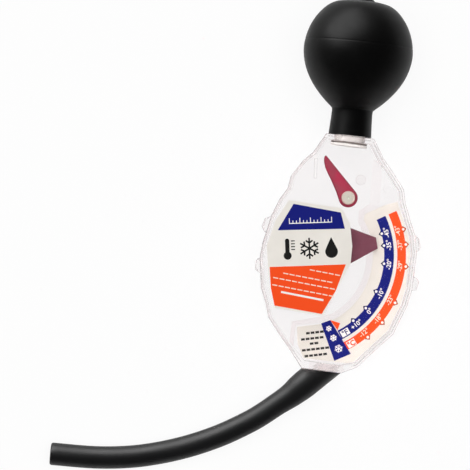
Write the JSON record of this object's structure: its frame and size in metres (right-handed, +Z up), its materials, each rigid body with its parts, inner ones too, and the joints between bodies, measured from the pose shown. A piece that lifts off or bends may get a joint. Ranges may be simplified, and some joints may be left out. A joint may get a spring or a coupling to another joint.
{
  "type": "dial coolant tester",
  "caption": "Dial coolant tester: flat clear housing with a float pointer over a printed scale and a level needle, a rubber squeeze bulb on top and a curved suction hose below.",
  "frame": {"origin": "centre of the underside of the box round everything but the hose and its cuff, on the floor that the tester lies on", "axes": "+Y along the tester from the hose end to the bulb, +X to the right of the dial as it is read, +Z up; the dial's plane leans back 5.5 degrees about X"},
  "size_m": [0.1576, 0.2286, 0.0499],
  "materials": {
    "clear_plastic": "clear moulded styrene",
    "printed_card": "cream card printed blue and orange",
    "printed_label": "cream film printed blue and orange",
    "maroon_plastic": "moulded, semi-gloss",
    "crimson_plastic": "moulded, semi-gloss",
    "natural_nylon": "moulded",
    "brass": "turned",
    "steel": "drawn wire",
    "gasket_rubber": "matte",
    "black_rubber": "satin moulded rubber",
    "hose_rubber": "satin extruded rubber"
  },
  "bodies": {
    "housing": {"back_shell": "clear_plastic", "scale_card": "printed_card", "float_axle": "steel", "needle_pin": "steel", "needle_cap": "natural_nylon", "neck_spigot": "natural_nylon", "neck_gasket": "gasket_rubber", "front_shell": "clear_plastic", "front_label": "printed_label", "inlet_nipple": "clear_plastic", "hose_cuff": "hose_rubber", "suction_hose": "hose_rubber"},
    "float": {"float_pointer": "maroon_plastic", "float_ballast": "brass"},
    "needle": {"level_needle": "crimson_plastic"},
    "bulb": {"squeeze_bulb": "black_rubber"}
  },
  "joints": [
    {"name": "float_swing", "type": "hinge", "parent": "housing", "child": "float", "pos_m": [-0.0177, -0.02915, 0.01572], "axis": [0, -0.0964, 0.9953], "range_deg": [-69.5, 15.5]},
    {"name": "needle_swing", "type": "hinge", "parent": "housing", "child": "needle", "pos_m": [0.0009, -0.00068, 0.01848], "axis": [0, -0.0964, 0.9953], "range_deg": [-62, 4]},
    {"name": "bulb_squeeze", "type": "slide", "parent": "housing", "child": "bulb", "axis": [0, -0.9953, -0.0964], "range_m": [0, 0.012], "stiffness_N_per_m": 800, "springref_m": -0.002, "deforming": ["squeeze_bulb"]}
  ]
}
